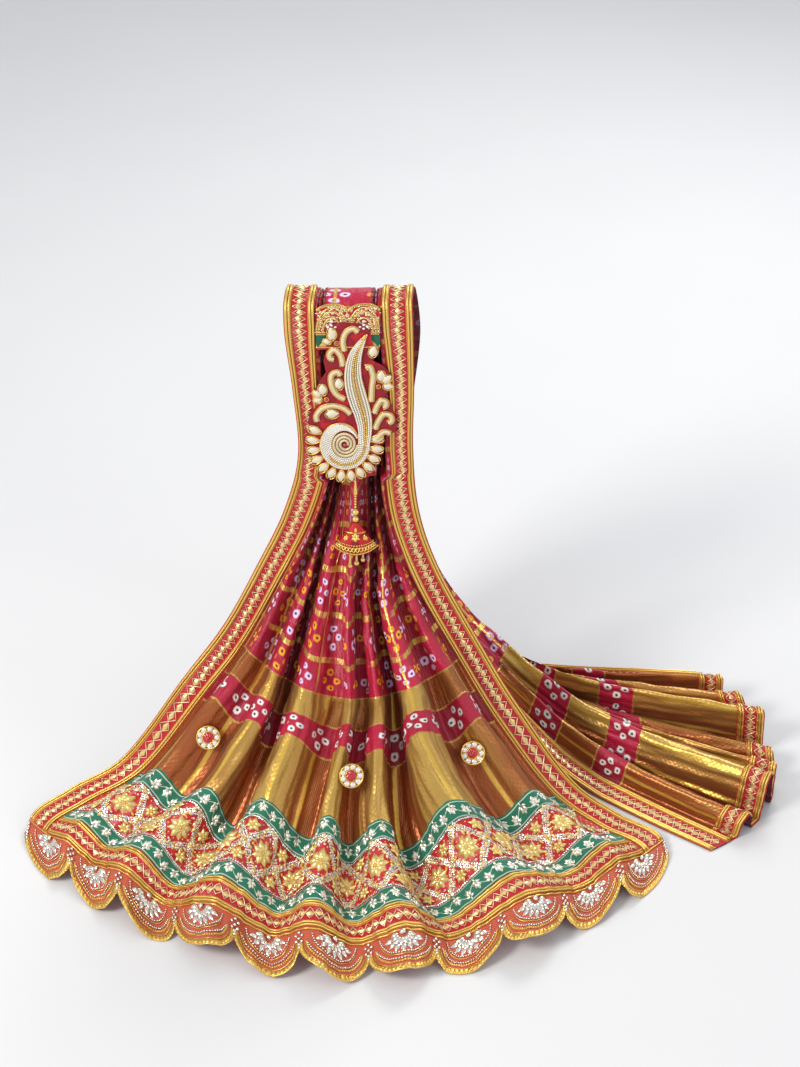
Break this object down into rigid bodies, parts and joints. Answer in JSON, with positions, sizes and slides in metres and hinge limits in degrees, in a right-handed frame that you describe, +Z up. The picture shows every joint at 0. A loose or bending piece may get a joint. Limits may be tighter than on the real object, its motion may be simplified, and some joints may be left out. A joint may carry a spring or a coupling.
{
  "type": "draped bandhani cloth",
  "caption": "Draped tie-dyed cloth with braid borders, scalloped lace hem, worked patch and tassel, gathered at the top with its tail spread behind.",
  "frame": {"origin": "centre of the whole piece's box, on the surface it stands on", "axes": "+X to the right, towards the tail's side; +Y to the back; +Z up"},
  "size_m": [1.0072, 0.6834, 0.717],
  "materials": {
    "silk": "crimson and magenta tie-dyed silk, gold tissue at its ends",
    "braid": "woven gold braid with red piping",
    "emerald": "green velvet ribbon with silver leaf sprays",
    "lattice": "red band with a silver sequin lattice",
    "lace": "pink net with gold and silver thread",
    "patch": "pearls, silver and gold cord on a red and green ground",
    "gold": "polished gold thread",
    "pearl": "pearl",
    "jewel": "clear stones round a red rose"
  },
  "bodies": {
    "root": {"cloth": "silk", "border_left": "braid", "border_right": "braid", "border_hem": "braid", "border_tail": "braid", "ribbon_lower": "emerald", "ribbon_upper": "emerald", "lattice_band": "lattice", "scallop_lace": "lace", "head_band": "lace", "patch_paisley": "patch", "tassel_cap": "gold", "tassel_knop": "gold", "tassel_beads": "pearl", "tassel_pearl": "pearl", "tassel_drop_1": "pearl", "tassel_drop_2": "pearl", "tassel_drop_3": "pearl", "tassel_bell": "braid", "jewel_1": "jewel", "jewel_2": "jewel", "jewel_3": "jewel"}
  },
  "joints": []
}
